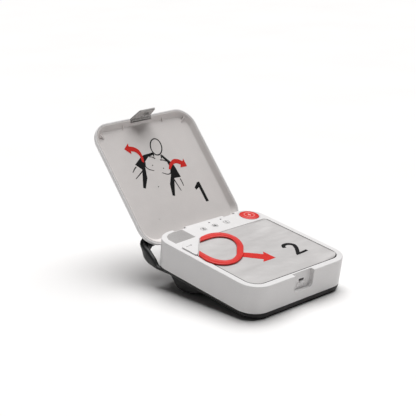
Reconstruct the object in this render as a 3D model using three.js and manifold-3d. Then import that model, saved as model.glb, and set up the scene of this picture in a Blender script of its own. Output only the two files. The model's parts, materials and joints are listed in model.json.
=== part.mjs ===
// A public-access defibrillator with its lid open: case, lid, controls, electrode tray, battery, handle.
// Millimetres, +Z up, X to the user's right, Y away from the user.
// Every piece is drawn square to the case, with Z = 0 on the joint between the white upper case and the
// black base. The lid is drawn closed and turned open about its hinge. At the end the whole device leans
// back on its wedge-shaped base, as it does on a table, with its feet on Z = 0.

import * as THREE from "three";
import { mergeVertices } from "three/addons/utils/BufferGeometryUtils.js";
import Module from "manifold-3d";

const wasm = await Module();
wasm.setup();

// ---------------------------------------------------------------- driving dimensions

const GAP = 0.3; // clearance between pieces that touch
const LEAN = 8.35; // degrees the case leans back on its base

const CASE = { left: -113, right: 113, front: -115.75, back: 119.25, corner: 34.8, top: 47, wall: 2.8 };
const WINDOW = { left: -102.5, right: 102.5, front: -105, back: 71, corner: 23, backRight: 8, ledge: 3.2 };
// The film over the tray: its gap to the window's rim, and the line y = x + line of its cut corner.
const FILM = { gap: 2.2, bottom: 46.3, thickness: 0.6, line: 124.2 };
const RECESS = { halfWidth: 22, bottom: 17, depth: 8, wall: 2.4 };
const SLOT = { left: -4, right: 8, bottom: 30, top: 34 };

const LID = { front: -114, back: 118.5, rim: 47.3, wall: 2.4, notch: 24, openAngle: 137.05 };
const HINGE = { y: 117.9, z: 32.7, x: 57, knuckle: 4, pin: 1.45, halfWidth: 10.6, bracket: 13.2 };
const LATCH = { y: -110.3, z: 50.6, tip: 21, topHalf: 21.3, tipHalf: 16 };

const BUTTON = { radius: 6, y: 95, places: { left: -21.4, middle: 5.3, right: 32.1 } };
const LAMP = { radius: 1.6, y: 109.2, places: { left: 4.8, right: 31.7 } };
const SHOCK = { x: 86.8, y: 94.6, radius: 17.2, edge: 47.2, ring: 1.5, slack: 0.4 };
const SPEAKER = { x: -80, y: 93, radius: 16 };
const BOARD_TOP = 40.1; // upper face of the button board

const FLOOR_POINT = { y: -112, z: -11.2 }; // a point under the front foot where the device stands
const BASE = { top: -1.8, floor: -9.3, wall: 2.4 };
const BULGE = { halfWidth: 93 };
const BAY = { halfWidth: 52, top: -13.9, bottom: -30.6 };
const BAR = { y: 156.4, z: 18.7, along: 10.5, across: 7, straight: 62 };
const GRIP = { halfLength: 57, thickness: 2 };
const SCREW = { x: 97.3, front: -100.05, back: 103.55, head: -5.2, post: 5.4 };

// ---------------------------------------------------------------- building blocks

const toRadians = THREE.MathUtils.degToRad;

// A closed geometry as a solid that can be joined and cut.
function solid(geometry) {
  const bare = geometry.clone();
  bare.deleteAttribute("normal");
  bare.deleteAttribute("uv");
  const merged = mergeVertices(bare, 1e-4);
  return new wasm.Manifold(
    new wasm.Mesh({
      numProp: 3,
      vertProperties: new Float32Array(merged.attributes.position.array),
      triVerts: new Uint32Array(merged.index.array),
    }),
  );
}

// The solid's surface as a geometry for a mesh.
function surfaceOf(body) {
  const { numVert, numProp, vertProperties, triVerts } = body.getMesh();
  const positions = new Float32Array(numVert * 3);
  for (let i = 0; i < numVert; i++) {
    positions.set(vertProperties.subarray(i * numProp, i * numProp + 3), i * 3);
  }
  const geometry = new THREE.BufferGeometry();
  geometry.setAttribute("position", new THREE.BufferAttribute(positions, 3));
  geometry.setIndex(new THREE.BufferAttribute(new Uint32Array(triVerts), 1));
  geometry.computeVertexNormals();
  return geometry;
}

const join = (first, ...others) => others.reduce((body, other) => body.add(other), first);
const cut = (first, ...tools) => tools.reduce((body, tool) => body.subtract(tool), first);

// Points of a rectangle with round corners, counter-clockwise. The back right corner may differ.
function roundedRectangle(left, right, front, back, radius, steps = 7, backRight = radius) {
  const corners = [
    [right - backRight, back - backRight, 0, backRight],
    [left + radius, back - radius, 90, radius],
    [left + radius, front + radius, 180, radius],
    [right - radius, front + radius, 270, radius],
  ];
  const points = [];
  for (const [x, y, start, curve] of corners) {
    for (let i = 0; i <= steps; i++) {
      const angle = toRadians(start + (90 * i) / steps);
      points.push(new THREE.Vector2(x + curve * Math.cos(angle), y + curve * Math.sin(angle)));
    }
  }
  return points;
}

// The case's outline, drawn in by an inset on every side.
function caseOutline(inset) {
  return roundedRectangle(
    CASE.left + inset,
    CASE.right - inset,
    CASE.front + inset,
    CASE.back - inset,
    Math.max(CASE.corner - inset, 3),
  );
}

function lidOutline(inset) {
  return roundedRectangle(
    CASE.left + inset,
    CASE.right - inset,
    LID.front + inset,
    LID.back - inset,
    Math.max(CASE.corner - inset, 3),
  );
}

// The base's outline: the sides and the back draw in further than the front.
function baseOutline(side, front) {
  return roundedRectangle(
    CASE.left + side,
    CASE.right - side,
    CASE.front + front,
    CASE.back - side,
    CASE.corner - side,
  );
}

function windowOutline(inset) {
  return roundedRectangle(
    WINDOW.left + inset,
    WINDOW.right - inset,
    WINDOW.front + inset,
    WINDOW.back - inset,
    WINDOW.corner - inset,
    7,
    Math.max(WINDOW.backRight - inset, 2),
  );
}

// A solid stretched over rings with equally many points, each ring convex.
function skin(rings) {
  const count = rings[0].length;
  const last = (rings.length - 1) * count;
  const indices = [];
  for (let ring = 0; ring + 1 < rings.length; ring++) {
    for (let i = 0; i < count; i++) {
      const a = ring * count + i;
      const b = ring * count + ((i + 1) % count);
      indices.push(a, b, b + count, a, b + count, a + count);
    }
  }
  for (let i = 1; i + 1 < count; i++) {
    indices.push(0, i + 1, i);
    indices.push(last, last + i, last + i + 1);
  }
  const geometry = new THREE.BufferGeometry().setFromPoints(rings.flat());
  geometry.setIndex(indices);
  return solid(geometry);
}

// A solid over level outlines, each given as [outline, z], from the lowest up.
function layered(levels) {
  return skin(levels.map(([outline, z]) => outline.map((p) => new THREE.Vector3(p.x, p.y, z))));
}

const pointsOf = (pairs) => pairs.map(([a, b]) => new THREE.Vector2(a, b));

// An outline in (x, y) raised from one height to another.
function slab(points, bottom, top) {
  const geometry = new THREE.ExtrudeGeometry(new THREE.Shape(points), {
    depth: top - bottom,
    bevelEnabled: false,
  });
  return solid(geometry.translate(0, 0, bottom));
}

// Turns an outline drawn in (x, y) and raised along Z into one in (y, z) raised along X.
const SIDE_VIEW = new THREE.Matrix4().makeBasis(
  new THREE.Vector3(0, 1, 0),
  new THREE.Vector3(0, 0, 1),
  new THREE.Vector3(1, 0, 0),
);

// An outline in (y, z) run along X.
function alongX(pairs, left, right) {
  const geometry = new THREE.ExtrudeGeometry(new THREE.Shape(pointsOf(pairs)), {
    depth: right - left,
    bevelEnabled: false,
  });
  return solid(geometry.applyMatrix4(SIDE_VIEW).translate(left, 0, 0));
}

// An outline in (x, z) run along Y.
function alongY(points, front, back) {
  const geometry = new THREE.ExtrudeGeometry(new THREE.Shape(points), {
    depth: back - front,
    bevelEnabled: false,
  });
  return solid(geometry.rotateX(Math.PI / 2).translate(0, back, 0));
}

function box(left, right, front, back, bottom, top) {
  const geometry = new THREE.BoxGeometry(right - left, back - front, top - bottom);
  return solid(geometry.translate((left + right) / 2, (front + back) / 2, (bottom + top) / 2));
}

// An upright cylinder, or a cone when the upper radius differs.
function post(x, y, radius, bottom, top, sides = 24, upperRadius = radius) {
  const geometry = new THREE.CylinderGeometry(upperRadius, radius, top - bottom, sides);
  return solid(geometry.rotateX(Math.PI / 2).translate(x, y, (bottom + top) / 2));
}

// A cylinder that lies along X.
function rod(y, z, radius, left, right, sides = 20) {
  const geometry = new THREE.CylinderGeometry(radius, radius, right - left, sides);
  return solid(geometry.rotateZ(Math.PI / 2).translate((left + right) / 2, y, z));
}

// ---------------------------------------------------------------- materials

function finish(color, roughness, metalness = 0) {
  return new THREE.MeshStandardMaterial({ color, roughness, metalness });
}

const white = finish(0xe9e8e8, 0.42);
const lidInside = finish(0xd9d5d3, 0.5);
const grey = finish(0x8f8d8c, 0.6);
const black = finish(0x1c1c1d, 0.62);
const rubber = finish(0x151515, 0.85);
const red = finish(0xe1301f, 0.4);
const foil = finish(0xbfbdbc, 0.35, 0.5);
const clear = finish(0x8aa08a, 0.2);
const steel = finish(0xb8bbbf, 0.3, 1);
const boardGreen = finish(0x1f6b3f, 0.5);
const component = finish(0x2a2d33, 0.5);
const copper = finish(0xb5703c, 0.35, 0.9);
const gel = finish(0xe8e4d8, 0.6);

// ---------------------------------------------------------------- case and controls

const GRILLE = pointsOf([
  [-54.5, 78.5],
  [-54.5, 112.4],
  [-76, 112.4],
  [-86, 110.6],
  [-95, 105],
  [-100.6, 95],
  [-100.8, 76],
]);

// The grille's outline moved in towards its middle.
function grilleOutline(share) {
  const middle = new THREE.Vector2(-77, 96);
  return GRILLE.map((p) => p.clone().lerp(middle, share)).reverse();
}

function recessOutline(margin) {
  const half = RECESS.halfWidth + margin;
  return roundedRectangle(-half, half, RECESS.bottom - margin, CASE.top + 20, 8 + margin, 4);
}

function screwPosts(radius, bottom, top, sides) {
  const posts = [];
  for (const x of [-SCREW.x, SCREW.x]) {
    for (const y of [SCREW.front, SCREW.back]) {
      posts.push(post(x, y, radius, bottom, top, sides));
    }
  }
  return posts;
}

function upperCase() {
  const outside = layered([
    [caseOutline(0.8), GAP],
    [caseOutline(0), CASE.top - 1.8],
    [caseOutline(0.4), CASE.top - 0.6],
    [caseOutline(1.4), CASE.top],
  ]);
  const inside = layered([
    [caseOutline(0.8 + CASE.wall), -5],
    [caseOutline(CASE.wall), CASE.top - CASE.wall],
  ]);
  const ledge = cut(
    slab(windowOutline(-2.5), CASE.top - 5, CASE.top - CASE.wall + 0.1),
    slab(windowOutline(WINDOW.ledge), CASE.top - 6, CASE.top),
  );
  const recessBack = CASE.front + RECESS.depth;
  const recessBlock = alongY(recessOutline(RECESS.wall), CASE.front + 1.5, recessBack + RECESS.wall);
  const belowTop = box(-60, 60, -130, -90, 0, CASE.top - 1);
  const body = join(
    cut(outside, inside),
    ledge,
    recessBlock.intersect(belowTop),
    ...hingeBlocks(),
    ...screwPosts(SCREW.post, GAP, 30, 14),
  );
  return cut(
    body,
    slab(windowOutline(0), CASE.top - CASE.wall - 0.1, CASE.top + 3),
    alongY(recessOutline(0), CASE.front - 5, recessBack),
    box(SLOT.left, SLOT.right, recessBack - 1, recessBack + 4, SLOT.bottom, SLOT.top),
    slab(grilleOutline(0), CASE.top - 1.4, CASE.top + 3),
    slab(grilleOutline(0.12), CASE.top - 5, CASE.top + 3),
    post(SHOCK.x, SHOCK.y, SHOCK.radius + SHOCK.slack + SHOCK.ring + GAP, CASE.top - 5, CASE.top + 3, 36),
    ...Object.values(BUTTON.places).map((x) =>
      post(x, BUTTON.y, BUTTON.radius + 0.3, CASE.top - 5, CASE.top + 3, 20),
    ),
    ...Object.values(LAMP.places).map((x) =>
      post(x, LAMP.y, LAMP.radius + 0.3, CASE.top - 5, CASE.top + 3, 12),
    ),
    ...hingePockets(),
    ...screwPosts(1.7, -5, 24, 10),
  );
}

// Thick places in the back wall that carry the hinges, and the pockets the hinges stand in.
function hingeBlocks() {
  return [-HINGE.x, HINGE.x].map((x) => box(x - 16, x + 16, 110.8, 117, 23.5, CASE.top - 1));
}

function hingePockets() {
  return [-HINGE.x, HINGE.x].map((x) => box(x - 13.5, x + 13.5, 113.2, 130, 26, CASE.top + 5));
}

function speakerGrille() {
  return slab(grilleOutline(0.01), CASE.top - 1.1, CASE.top - 0.2);
}

function speakerDriver() {
  const { x, y, radius } = SPEAKER;
  const basket = post(x, y, radius - 1.5, 35.9, 42, 24, radius);
  return join(post(x, y, radius * 0.55, 30, 36, 24), basket);
}

function shockButton() {
  const { x, y, radius, edge } = SHOCK;
  const cap = post(x, y, radius, 42.4, edge, 36);
  const dome = post(x, y, radius, edge - 0.01, edge + 1.2, 36, radius - 3.5);
  return cut(join(cap, dome), post(x, y, 12, 40, 44.3, 24));
}

function shockButtonBezel() {
  const { x, y, radius, ring, slack } = SHOCK;
  const collar = post(x, y, radius + slack + ring, 43, CASE.top + 0.1, 36);
  return cut(collar, post(x, y, radius + slack, 40, 50, 36));
}

function smallButton(x) {
  const cap = post(x, BUTTON.y, BUTTON.radius, 43, CASE.top + 0.5, 20);
  return join(cap, post(x, BUTTON.y, BUTTON.radius + 1, 43, 43.9, 20));
}

const keySwitch = (x, y, radius) => post(x, y, radius, BOARD_TOP + GAP, 42, 12);

const statusWindow = (x) => post(x, LAMP.y, LAMP.radius, CASE.top - 4, CASE.top + 0.2, 12);

function buttonBoard() {
  return box(-32, 92, 84, 105, BOARD_TOP - 1.6, BOARD_TOP);
}

function latchStrike() {
  const back = CASE.front + RECESS.depth - GAP;
  return box(-2, 6, back - 1.4, back, SLOT.bottom - 4.5, SLOT.bottom - 0.6);
}

// ---------------------------------------------------------------- hinge

function hingeBracket(x) {
  const ear = [
    [113.5, 26.3],
    [121.4, 26.3],
    [122.2, 33],
    [120.4, 36.8],
    [115.2, 37.2],
    [113.5, 35.5],
  ];
  const outer = HINGE.bracket;
  const inner = HINGE.halfWidth + 0.4;
  const body = join(
    alongX(ear, x - outer, x - inner),
    alongX(ear, x + inner, x + outer),
    box(x - outer, x + outer, 113.5, 121.4, 26.3, 27.9),
  );
  return cut(body, rod(HINGE.y, HINGE.z, HINGE.pin + 0.1, x - 20, x + 20, 16));
}

const hingePin = (x) => rod(HINGE.y, HINGE.z, HINGE.pin, x - HINGE.bracket, x + HINGE.bracket, 16);

// The lid's arm: a knuckle on the pin, a web that rises behind the case wall, a pad inside the lid.
function hingeArm(x) {
  const left = x - HINGE.halfWidth;
  const right = x + HINGE.halfWidth;
  const web = box(left, right, 115.2, 118.2, HINGE.z, LID.rim + 0.6);
  const step = box(left, right, 113.2, 118.2, LID.rim - 0.6, LID.rim + 0.6);
  const pad = box(left, right, 113.2, 115.2, LID.rim, LID.rim + 4.6);
  const knuckle = rod(HINGE.y, HINGE.z, HINGE.knuckle, left, right, 20);
  const bore = rod(HINGE.y, HINGE.z, HINGE.pin + 0.1, left - 5, right + 5, 16);
  return cut(join(knuckle, web, step, pad), bore);
}

// The room the arm takes inside the lid.
function armRoom(x) {
  const half = HINGE.halfWidth + GAP;
  return box(x - half, x + half, 112.9, 118.6, LID.rim - 3, LID.rim + 1);
}

function armPadRoom(x) {
  const half = HINGE.halfWidth + GAP;
  return box(x - half, x + half, 112.9, 116, LID.rim - 3, LID.rim + 5);
}

// ---------------------------------------------------------------- lid, drawn closed

function lidShell() {
  const outside = layered([
    [lidOutline(0), LID.rim],
    [lidOutline(0.5), 52.5],
    [lidOutline(2.2), 56],
    [lidOutline(5.4), 58.6],
    [lidOutline(10), 60.2],
    [lidOutline(17), 61],
  ]);
  const inside = layered([
    [lidOutline(LID.wall), LID.rim - 1],
    [lidOutline(2.9), 52.3],
    [lidOutline(4.6), 54.8],
    [lidOutline(7.8), 57],
    [lidOutline(12), 58.3],
    [lidOutline(18), 58.7],
  ]);
  return cut(
    cut(outside, inside),
    box(-LID.notch, LID.notch, -120, -108, 40, 53.2),
    ...[-HINGE.x, HINGE.x].map(armRoom),
  );
}

// The inner moulding: a shallow dish with a sloping edge, stiffened by small gussets.
function lidLiner() {
  const outside = layered([
    [lidOutline(2.9), LID.rim + GAP],
    [lidOutline(3.6), 50],
    [lidOutline(9.5), 55.5],
    [lidOutline(12.8), 57.1],
  ]);
  const dish = layered([
    [lidOutline(3.5), LID.rim - 1],
    [lidOutline(12.5), 55.3],
  ]);
  const body = join(cut(outside, dish), ...LINER_RIBS.map(([x, y, turn]) => rib(x, y, turn)));
  return cut(
    body,
    box(-LID.notch, LID.notch, -120, -106.6, 40, 53.2),
    ...[-HINGE.x, HINGE.x].map(armPadRoom),
  );
}

// Each gusset: where its outer end stands, and the way it points inwards from the front edge, in degrees.
const LINER_RIBS = [
  [-41, -109.5, 0],
  [49, -109.5, 0],
  [-96.5, -97.5, -45],
  [96.5, -97.5, 45],
];

function rib(x, y, turn) {
  const side = new THREE.Shape(
    pointsOf([
      [0, 49.4],
      [3.5, 50.6],
      [11.5, 54.9],
      [11.5, 55.6],
      [7.4, 55.5],
      [0, 51.4],
    ]),
  );
  const plate = new THREE.ExtrudeGeometry(side, { depth: 1.4, bevelEnabled: false });
  plate.applyMatrix4(SIDE_VIEW).translate(-0.7, 0, 0);
  return solid(plate.rotateZ(toRadians(turn)).translate(x, y, 0));
}

// The latch tab hangs from the lid's front edge and hooks into the slot in the case's recess.
function lidLatch() {
  const face = pointsOf([
    [-LATCH.tipHalf, LATCH.tip],
    [LATCH.tipHalf, LATCH.tip],
    [LATCH.tipHalf + 1.6, LATCH.tip + 2],
    [LATCH.topHalf, 46],
    [LATCH.topHalf, 52.4],
    [-LATCH.topHalf, 52.4],
    [-LATCH.topHalf, 46],
    [-LATCH.tipHalf - 1.6, LATCH.tip + 2],
  ]);
  const plate = alongY(face, -113.8, -111.4);
  const barrel = rod(LATCH.y, LATCH.z, 1.9, -LATCH.topHalf, LATCH.topHalf, 16);
  const hook = box(SLOT.left + 1, SLOT.right - 1, -111.5, -106.9, SLOT.bottom + 0.5, SLOT.top - 0.6);
  const bore = rod(LATCH.y, LATCH.z, 1.1, -30, 30, 12);
  return cut(join(plate, barrel, hook), bore);
}

const latchPin = () => rod(LATCH.y, LATCH.z, 1, -23.7, 23.7, 12);

const lidMagnet = () => box(36, 44, -110, -108.2, 52.5, 53.9);

const lidSensor = () => box(36, 44, -112.4, -108.6, 34, 38);

// ---------------------------------------------------------------- electrode tray and its cover

const PULL_ROOT = new THREE.Vector2(-77, 45.4); // middle of the pull handle's root line

const CONNECTOR = pointsOf([
  [-54.2, 70.8],
  [-67, 72.8],
  [-86.5, 73.6],
  [-104.2, 57.2],
  [-104.4, 24.2],
  [-99.5, 25.5],
]);

function electrodeTray() {
  const flange = slab(windowOutline(0.5), 44.5, 46);
  const tub = layered([
    [windowOutline(7.5), 26],
    [windowOutline(4.5), 45],
  ]);
  const hollow = layered([
    [windowOutline(9), 27.4],
    [windowOutline(6), 47],
  ]);
  return cut(join(flange, tub), hollow);
}

// A thin sheet, puffed up along its right side.
function foilCover() {
  const flat = slab(windowOutline(FILM.gap), FILM.bottom, FILM.bottom + FILM.thickness);
  const puff = layered([
    [roundedRectangle(56, 99, -100, 67, 20), FILM.bottom + 0.3],
    [roundedRectangle(78, 96.5, -95, 62, 9), FILM.bottom + 3.2],
  ]);
  const sheet = cut(join(flat, puff), puff.translate([0, 0, -FILM.thickness]));
  const corner = pointsOf([
    [-40, FILM.line - 40],
    [-120, FILM.line - 40],
    [-120, FILM.line - 120],
  ]);
  return cut(sheet, slab(corner, 40, 50));
}

function electrodePad(left, right) {
  return slab(roundedRectangle(left, right, -90, 22, 30, 6), 27.8, 32);
}

function padLead() {
  const route = new THREE.CatmullRomCurve3([
    new THREE.Vector3(-66, 34, 34.4),
    new THREE.Vector3(-40, 10, 34.4),
    new THREE.Vector3(10, 28, 34.4),
    new THREE.Vector3(60, 10, 34.4),
    new THREE.Vector3(62, -40, 34.4),
    new THREE.Vector3(10, -62, 34.4),
    new THREE.Vector3(-48, -40, 34.4),
  ]);
  const section = new THREE.Shape().absarc(0, 0, 1.6, 0, 2 * Math.PI);
  return solid(
    new THREE.ExtrudeGeometry(section, { steps: 36, curveSegments: 8, bevelEnabled: false, extrudePath: route }),
  );
}

function electrodeConnector() {
  const cap = slab(CONNECTOR, 47.3, 49.4);
  return join(cap, box(-90.5, -80, 46, 56.5, 40.3, 47.5));
}

const connectorSocket = () => box(-89, -77, 40, 56, 27.8, 40);

// One half of the loop, as [along the root line, away from it]; the other half mirrors it.
const LOOP_OUTER = [
  [35.5, 0],
  [51, 12],
  [59.5, 26],
  [61, 38],
  [56, 50.5],
  [43, 62.5],
  [21, 70.2],
  [0, 70.8],
];
const LOOP_INNER = [
  [17.5, 0],
  [30, 11],
  [41, 23.5],
  [45.3, 36],
  [43.3, 46],
  [35, 54.3],
  [18.5, 59.6],
  [0, 60],
];

function mirroredCurve(half, steps) {
  const other = half.slice(0, -1).map(([u, v]) => [-u, v]);
  return new THREE.SplineCurve(pointsOf([...half, ...other.reverse()])).getPoints(steps);
}

function pullHandle() {
  const outer = mirroredCurve(LOOP_OUTER, 30);
  const inner = mirroredCurve(LOOP_INNER, 26).reverse();
  const outline = [...outer, ...inner];
  const loop = new THREE.ExtrudeGeometry(new THREE.Shape(outline), { depth: 2.6, bevelEnabled: false });
  return solid(loop.rotateZ(toRadians(-135)).translate(PULL_ROOT.x, PULL_ROOT.y, 47.3));
}

// ---------------------------------------------------------------- base, feet and handle

function floorCut() {
  const geometry = new THREE.BoxGeometry(400, 400, 40).translate(0, 0, -20);
  return solid(geometry.rotateX(toRadians(-LEAN)).translate(0, FLOOR_POINT.y, FLOOR_POINT.z));
}

const caseGasket = () =>
  cut(slab(caseOutline(1.1), -1.5, 0), slab(caseOutline(CASE.wall + 1.4), -3, 2));

// The wedge under the back of the base, as a side view in (y, z).
function bulge(halfWidth, drop, inset) {
  const side = [
    [-8 + inset, BASE.floor],
    [-5 + inset, -11.4],
    [19 + inset * 0.4, -22.4],
    [42 + inset * 0.2, -31.2],
    [58, -34.6],
    [71, -33.4],
    [79 - inset * 0.7, -30],
    [99 - inset, -11.4],
    [100 - inset, BASE.floor],
  ];
  const sideView = (x, shrink) =>
    side.map(([y, z]) => {
      const shrunkY = y + (50 - y) * shrink;
      const shrunkZ = z + (-12 - z) * shrink * 1.6;
      return new THREE.Vector3(x, shrunkY, shrunkZ + drop + inset);
    });
  return skin([
    sideView(-halfWidth, 0.08),
    sideView(-halfWidth + 1.5, 0.025),
    sideView(-halfWidth + 5, 0),
    sideView(halfWidth - 5, 0),
    sideView(halfWidth - 1.5, 0.025),
    sideView(halfWidth, 0.08),
  ]);
}

function baseTray() {
  const outside = layered([
    [baseOutline(9, 4.2), BASE.floor],
    [baseOutline(6, 2), BASE.floor + 1.6],
    [baseOutline(2.6, 1.3), -5],
    [baseOutline(1.2, 1.2), BASE.top],
  ]);
  const inside = layered([
    [baseOutline(11, 6), BASE.floor + BASE.wall],
    [baseOutline(6, 4), -4.5],
    [baseOutline(4, 4), 0],
  ]);
  const battery = [
    [20, BAY.top],
    [20, BAY.bottom],
    [110, BAY.bottom],
    [110, BAY.top],
  ];
  const roof = box(-BAY.halfWidth - 5, BAY.halfWidth + 5, 0, 94, BAY.top, BASE.floor + 1);
  const hollow = cut(bulge(BULGE.halfWidth - BASE.wall, 0, BASE.wall), roof);
  const room = alongX(battery, -BAY.halfWidth, BAY.halfWidth);
  const rearHalf = box(-200, 200, 60, 200, -60, 20);
  const latchNotch = box(-12.4, 12.4, 84, 91.2, BAY.top - 1, BAY.top + 1.4);
  const body = cut(
    join(outside, bulge(BULGE.halfWidth, 0, 0)),
    inside,
    hollow.intersect(box(-200, 200, -200, 200, -60, BAY.top + 0.6)),
    room.intersect(rearHalf),
    latchNotch,
  );
  return cut(
    join(body, ...screwPosts(4.8, BASE.floor, BASE.top, 12).map((p) => p.intersect(outside))),
    ...screwPosts(1.8, -20, 0, 10),
    ...screwPosts(3.2, -20, SCREW.head + 2, 12),
    handleBody(GAP),
  );
}

function frontFoot() {
  const strip = slab(roundedRectangle(-84, 84, -111.2, -99.5, 5, 4), -20, BASE.floor - GAP);
  return cut(strip, floorCut());
}

function rearFoot(left, right) {
  const pad = slab(roundedRectangle(left, right, 47, 67, 5, 4), -50, -30);
  return cut(pad, bulge(BULGE.halfWidth, -GAP, 0), floorCut());
}

// Stations along the left arm, from its root on the base to the end of the bar:
// [x, y, z, half height, half width].
const ARM = [
  [-104, 76, -5.2, 2.6, 4],
  [-107, 92, -5.1, 3, 4],
  [-108.8, 105.5, -5, 3.1, 4],
  [-108.3, 116, -1, 7.4, 4.6],
  [-107.6, 128, 3, 10, 5.4],
  [-105.6, 140, 8.6, 10.8, 6],
  [-99.4, 149.6, 13.6, 11, 6.6],
  [-87, 155.4, 17.2, 10.8, 7],
];

// A rounded section across the handle's path. Its tall side leans back where it reaches the bar.
function handleRing(centre, tangent, lean, half, width) {
  const tall = new THREE.Vector3(0, Math.sin(lean), Math.cos(lean));
  tall.addScaledVector(tangent, -tall.dot(tangent)).normalize();
  const wide = new THREE.Vector3().crossVectors(tangent, tall);
  const ring = [];
  for (let i = 0; i < 12; i++) {
    const angle = (2 * Math.PI * i) / 12;
    const squarish = (value) => Math.sign(value) * Math.pow(Math.abs(value), 0.75);
    const point = centre.clone();
    point.addScaledVector(tall, half * squarish(Math.cos(angle)));
    point.addScaledVector(wide, width * squarish(Math.sin(angle)));
    ring.push(point);
  }
  return ring;
}

const BAR_LEAN = toRadians(LID.openAngle - 90); // the bar's tall side runs along the open lid

function handleStations() {
  const left = ARM.map((station, i) => ({
    centre: new THREE.Vector3(station[0], station[1], station[2]),
    half: station[3],
    width: station[4],
    lean: BAR_LEAN * THREE.MathUtils.smoothstep(i, 3, ARM.length - 1),
  }));
  left.push({
    centre: new THREE.Vector3(-BAR.straight, BAR.y, BAR.z),
    half: BAR.along,
    width: BAR.across,
    lean: BAR_LEAN,
  });
  const right = left.map((station) => ({
    ...station,
    centre: station.centre.clone().setX(-station.centre.x),
  }));
  return [...left, ...right.reverse()];
}

// The handle's full outer form, grown by a margin on every side.
function handleBody(margin) {
  const stations = handleStations();
  const rings = stations.map((station, i) => {
    const before = stations[Math.max(i - 1, 0)].centre;
    const after = stations[Math.min(i + 1, stations.length - 1)].centre;
    const tangent = new THREE.Vector3().subVectors(after, before).normalize();
    return handleRing(station.centre, tangent, station.lean, station.half + margin, station.width + margin);
  });
  return skin(rings);
}

// A straight length of the bar, thinner than its full size by a depth.
function barLength(halfLength, depth) {
  const along = new THREE.Vector3(1, 0, 0);
  const ringAt = (x) =>
    handleRing(new THREE.Vector3(x, BAR.y, BAR.z), along, BAR_LEAN, BAR.along - depth, BAR.across - depth);
  return skin([ringAt(-halfLength), ringAt(halfLength)]);
}

function carryHandle() {
  const band = cut(barLength(GRIP.halfLength + GAP, -2), barLength(GRIP.halfLength + 5, GRIP.thickness));
  return cut(handleBody(0), band);
}

function handleGrip() {
  return cut(
    barLength(GRIP.halfLength, 0),
    barLength(GRIP.halfLength + 5, GRIP.thickness - GAP),
  );
}

// ---------------------------------------------------------------- battery

// The battery's side view in (y, z); its back end follows the slope of the base.
const BATTERY_SIDE = [
  [31, BAY.top - 0.4],
  [31, -23.4],
  [50, BAY.bottom + 0.4],
  [76.6, BAY.bottom + 0.4],
  [95.2, BAY.top - 0.4],
];

function batteryPack() {
  const half = BAY.halfWidth - 0.5;
  const latchRoom = box(-12.4, 12.4, 84, 100, BAY.top - 9, BAY.top + 2);
  return cut(alongX(BATTERY_SIDE, -half, half), latchRoom);
}

function batteryLatch() {
  const slider = [
    [84.4, BAY.top - 6],
    [88.6, BAY.top - 6],
    [94.4, BAY.top - 0.6],
    [90.8, BAY.top - 0.6],
    [90.8, BAY.top + 1],
    [88.8, BAY.top + 1],
    [88.8, BAY.top - 0.6],
    [84.4, BAY.top - 0.6],
  ];
  return alongX(slider, -12, 12);
}

const batteryContacts = () => box(-18, 18, 24.5, 30.6, -21, BAY.top - 0.4);

// ---------------------------------------------------------------- electronics

const BOARD = { bottom: -3, top: -1.4 };

function mainBoard() {
  return slab(roundedRectangle(-84, 84, -92, 62, 6, 2), BOARD.bottom, BOARD.top);
}

const shockCapacitor = () => rod(92, 14, 16.5, -34, 60, 24);

function chargeTransformer() {
  const core = box(-84, -52, 76, 106, -4, 20);
  return join(core, box(-88, -48, 84, 98, 0, 16));
}

function dischargeInductor() {
  const ring = new THREE.LatheGeometry(
    pointsOf([
      [8, 0],
      [18, 0],
      [19, 2],
      [19, 12],
      [18, 14],
      [8, 14],
      [7, 12],
      [7, 2],
      [8, 0],
    ]),
    20,
  );
  return solid(ring.rotateX(Math.PI / 2).translate(-52, -58, BOARD.top + GAP));
}

function switchingModule() {
  const base = box(6, 62, -70, -22, BOARD.top + GAP, 4);
  const fins = [];
  for (let i = 0; i < 6; i++) {
    const x = 8 + i * 10;
    fins.push(box(x, x + 2, -68, -24, 3, 16));
  }
  return join(base, ...fins);
}

const processorShield = () => box(-40, 0, 10, 44, BOARD.top + GAP, 4);

// A flat cable from the main board up to the button board.
function ribbonCable() {
  const side = [
    [50, BOARD.top + 0.3],
    [71.2, BOARD.top + 0.3],
    [71.2, BOARD_TOP - 2.5],
    [90, BOARD_TOP - 2.5],
    [90, BOARD_TOP - 1.9],
    [70.6, BOARD_TOP - 1.9],
    [70.6, BOARD.top + 0.9],
    [50, BOARD.top + 0.9],
  ];
  return alongX(side, 18, 36);
}

function caseScrew(x, y) {
  const head = post(x, y, 2.9, SCREW.head, SCREW.head + 1.7, 12);
  return join(head, post(x, y, 1.4, SCREW.head + 1, 20, 10));
}

// ---------------------------------------------------------------- assembly

const device = new THREE.Group();
const lid = new THREE.Group();
lid.position.set(0, HINGE.y, HINGE.z);
lid.rotation.x = -toRadians(LID.openAngle);
device.add(lid);

function addPiece(name, body, material, parent = device) {
  const mesh = new THREE.Mesh(surfaceOf(body), material);
  mesh.name = name;
  if (parent === lid) {
    mesh.position.set(0, -HINGE.y, -HINGE.z);
  }
  parent.add(mesh);
}

const SIDES = { left: -1, right: 1 };

addPiece("upper_case", upperCase(), white);
addPiece("speaker_grille", speakerGrille(), grey);
addPiece("speaker_driver", speakerDriver(), component);
addPiece("shock_button", shockButton(), red);
addPiece("shock_button_bezel", shockButtonBezel(), white);
addPiece("shock_switch", keySwitch(SHOCK.x, SHOCK.y, 5), component);
addPiece("button_board", buttonBoard(), boardGreen);
for (const [place, x] of Object.entries(BUTTON.places)) {
  addPiece(`${place}_button`, smallButton(x), white);
  addPiece(`${place}_switch`, keySwitch(x, BUTTON.y, 3), component);
}
for (const [place, x] of Object.entries(LAMP.places)) {
  addPiece(`${place}_status_window`, statusWindow(x), clear);
}
addPiece("latch_strike", latchStrike(), grey);
addPiece("lid_sensor", lidSensor(), component);

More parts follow.
